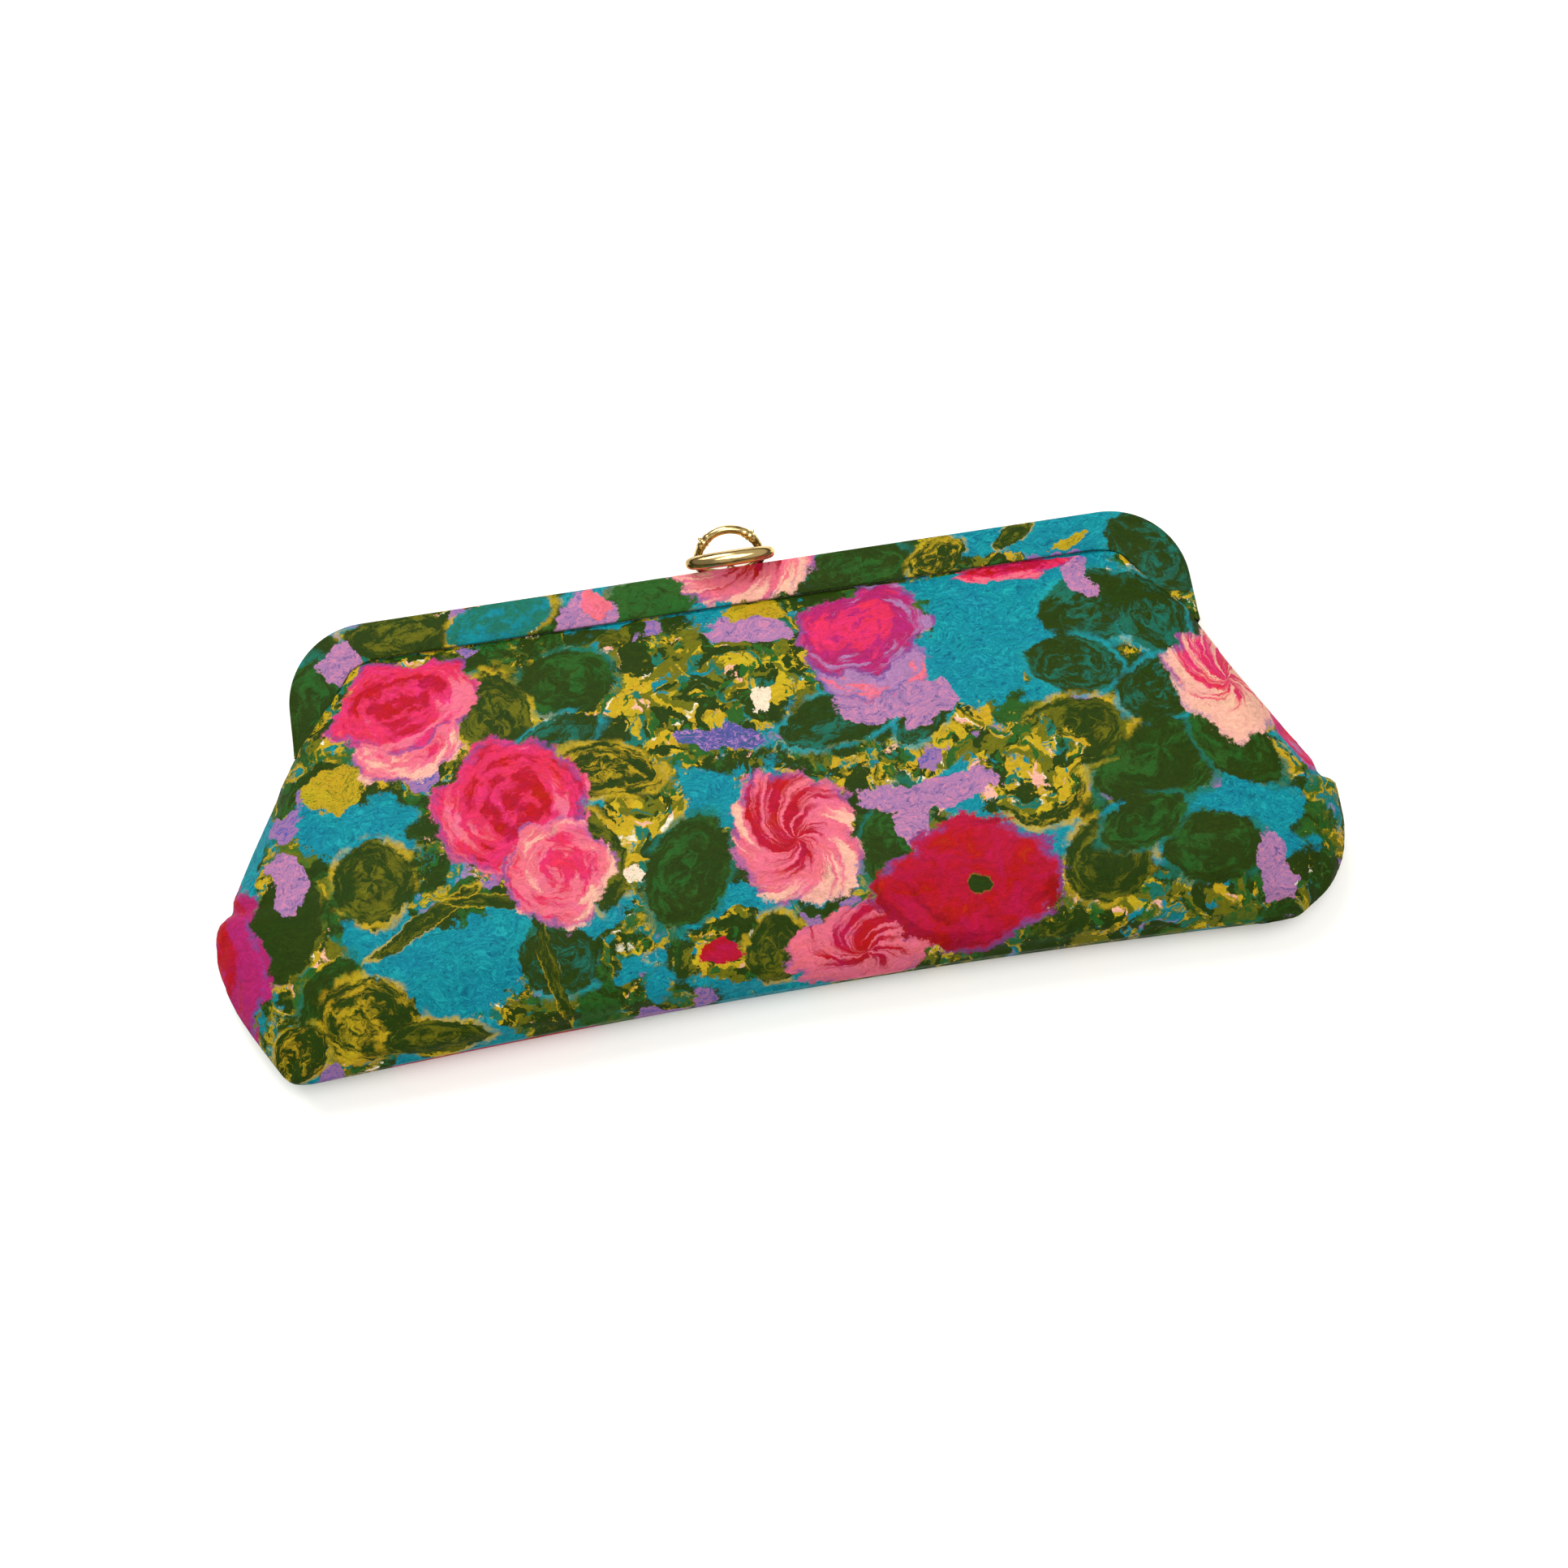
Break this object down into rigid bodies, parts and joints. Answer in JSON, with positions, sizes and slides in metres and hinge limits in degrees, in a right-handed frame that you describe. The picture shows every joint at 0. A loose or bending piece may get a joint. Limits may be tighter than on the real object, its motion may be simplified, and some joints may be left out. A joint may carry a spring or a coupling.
{
  "type": "frame clutch purse",
  "caption": "Clutch purse with a fabric-covered hinged metal frame, a ring clasp, and a boxed padded cloth body with a lining, lying on its back.",
  "frame": {"origin": "centre of the bounding box's base, under the back panel", "axes": "+X along the purse's width, +Y from its bottom towards the clasp, +Z out of the front face"},
  "size_m": [0.279, 0.1234, 0.0225],
  "materials": {
    "print_cloth": "woven cotton with a painterly rose print in green, turquoise and pink",
    "lining_cloth": "satin lining",
    "interlining_felt": "felted interlining",
    "frame_steel": "plated sheet steel",
    "clasp_gold": "polished gold-tone plating",
    "cord_paper": "twisted paper"
  },
  "bodies": {
    "rear_half": {"rear_frame": "frame_steel", "rear_frame_cover": "print_cloth", "rear_paper_cord": "cord_paper", "right_hinge_rivet": "clasp_gold", "left_hinge_rivet": "clasp_gold", "rear_clasp_ring": "clasp_gold", "rear_clasp_bush": "frame_steel", "back_panel": "print_cloth", "front_panel_lower": "print_cloth", "back_interlining": "interlining_felt", "front_interlining_lower": "interlining_felt", "back_lining": "lining_cloth", "front_lining_lower": "lining_cloth"},
    "front_half": {"front_frame": "frame_steel", "front_frame_cover": "print_cloth", "front_paper_cord": "cord_paper", "front_clasp_ring": "clasp_gold", "front_clasp_bush": "frame_steel", "front_panel_upper": "print_cloth", "front_interlining_upper": "interlining_felt", "front_lining_upper": "lining_cloth"}
  },
  "joints": [
    {"name": "frame_hinge", "type": "hinge", "parent": "rear_half", "child": "front_half", "pos_m": [0, 0.0184, 0.0063], "axis": [1, 0, 0], "range_deg": [0, 70]}
  ]
}
